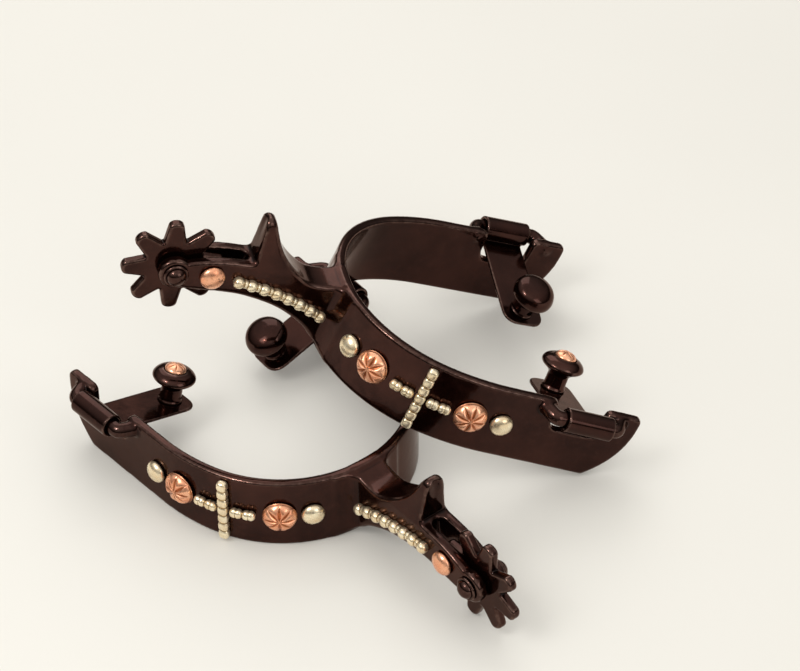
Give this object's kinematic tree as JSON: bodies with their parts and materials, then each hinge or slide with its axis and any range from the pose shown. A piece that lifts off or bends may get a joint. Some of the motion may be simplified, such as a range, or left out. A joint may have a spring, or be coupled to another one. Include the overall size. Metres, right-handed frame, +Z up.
{
  "type": "western spurs",
  "caption": "Pair of western spurs with beaded crosses, swinging strap hangers and free rowels, one lying across the other.",
  "frame": {"origin": "on the table, under the middle of the pair", "axes": "+Z up, +X along the pair's longest side, to the right as seen from the camera, +Y away from it"},
  "size_m": [0.1718, 0.1646, 0.0859],
  "materials": {
    "brown_steel": "glossy antique-brown coating on cast steel, worn lighter on the edges",
    "copper": "bright engraved copper",
    "pale_brass": "polished pale brass beads"
  },
  "bodies": {
    "left_spur": {"left_yoke": "brown_steel", "left_rowel_pin": "brown_steel", "left_shank_dome": "copper", "left_shank_beads": "pale_brass", "left_cross": "pale_brass", "left_heel_concho": "copper", "left_heel_stud": "pale_brass", "left_toe_concho": "copper", "left_toe_stud": "pale_brass"},
    "left_rowel": {"left_rowel": "brown_steel"},
    "left_outer_strap_hanger": {"left_outer_hanger": "brown_steel", "left_outer_button": "brown_steel", "left_outer_button_inset": "copper"},
    "left_inner_strap_hanger": {"left_inner_hanger": "brown_steel", "left_inner_button": "brown_steel"},
    "right_spur": {"right_yoke": "brown_steel", "right_rowel_pin": "brown_steel", "right_shank_dome": "copper", "right_shank_beads": "pale_brass", "right_cross": "pale_brass", "right_heel_concho": "copper", "right_heel_stud": "pale_brass", "right_toe_concho": "copper", "right_toe_stud": "pale_brass"},
    "right_rowel": {"right_rowel": "brown_steel"},
    "right_outer_strap_hanger": {"right_outer_hanger": "brown_steel", "right_outer_button": "brown_steel", "right_outer_button_inset": "copper"},
    "right_inner_strap_hanger": {"right_inner_hanger": "brown_steel", "right_inner_button": "brown_steel"}
  },
  "joints": [
    {"name": "left_rowel_spin", "type": "hinge", "parent": "left_spur", "child": "left_rowel", "pos_m": [0.03739, -0.06979, 0.0156], "axis": [-0.7735, -0.6338, 0], "continuous": true},
    {"name": "left_outer_hanger_swing", "type": "hinge", "parent": "left_spur", "child": "left_outer_strap_hanger", "pos_m": [-0.07633, -0.00501, 0.0214], "axis": [0.6682, -0.744, 0], "range_deg": [-6, 215]},
    {"name": "left_inner_hanger_swing", "type": "hinge", "parent": "left_spur", "child": "left_inner_strap_hanger", "pos_m": [-0.00335, 0.05389, 0.0214], "axis": [-0.598, 0.8015, 0], "range_deg": [0, 60]},
    {"name": "right_spur_lift_off", "type": "slide", "parent": "left_spur", "child": "right_spur", "axis": [0, 0, 1], "range_m": [0, 0.12]},
    {"name": "right_rowel_spin", "type": "hinge", "parent": "right_spur", "child": "right_rowel", "pos_m": [-0.05157, 0.00481, 0.07072], "axis": [0.2338, -0.9723, -0.0017], "continuous": true},
    {"name": "right_outer_hanger_swing", "type": "hinge", "parent": "right_spur", "child": "right_outer_strap_hanger", "pos_m": [0.06945, -0.01424, 0.02429], "axis": [0.8909, 0.1684, -0.4219], "range_deg": [-9, 220]},
    {"name": "right_inner_hanger_swing", "type": "hinge", "parent": "right_spur", "child": "right_inner_strap_hanger", "pos_m": [0.0469, 0.07679, 0.02475], "axis": [-0.8696, -0.2566, 0.4218], "range_deg": [-10, 220]}
  ]
}
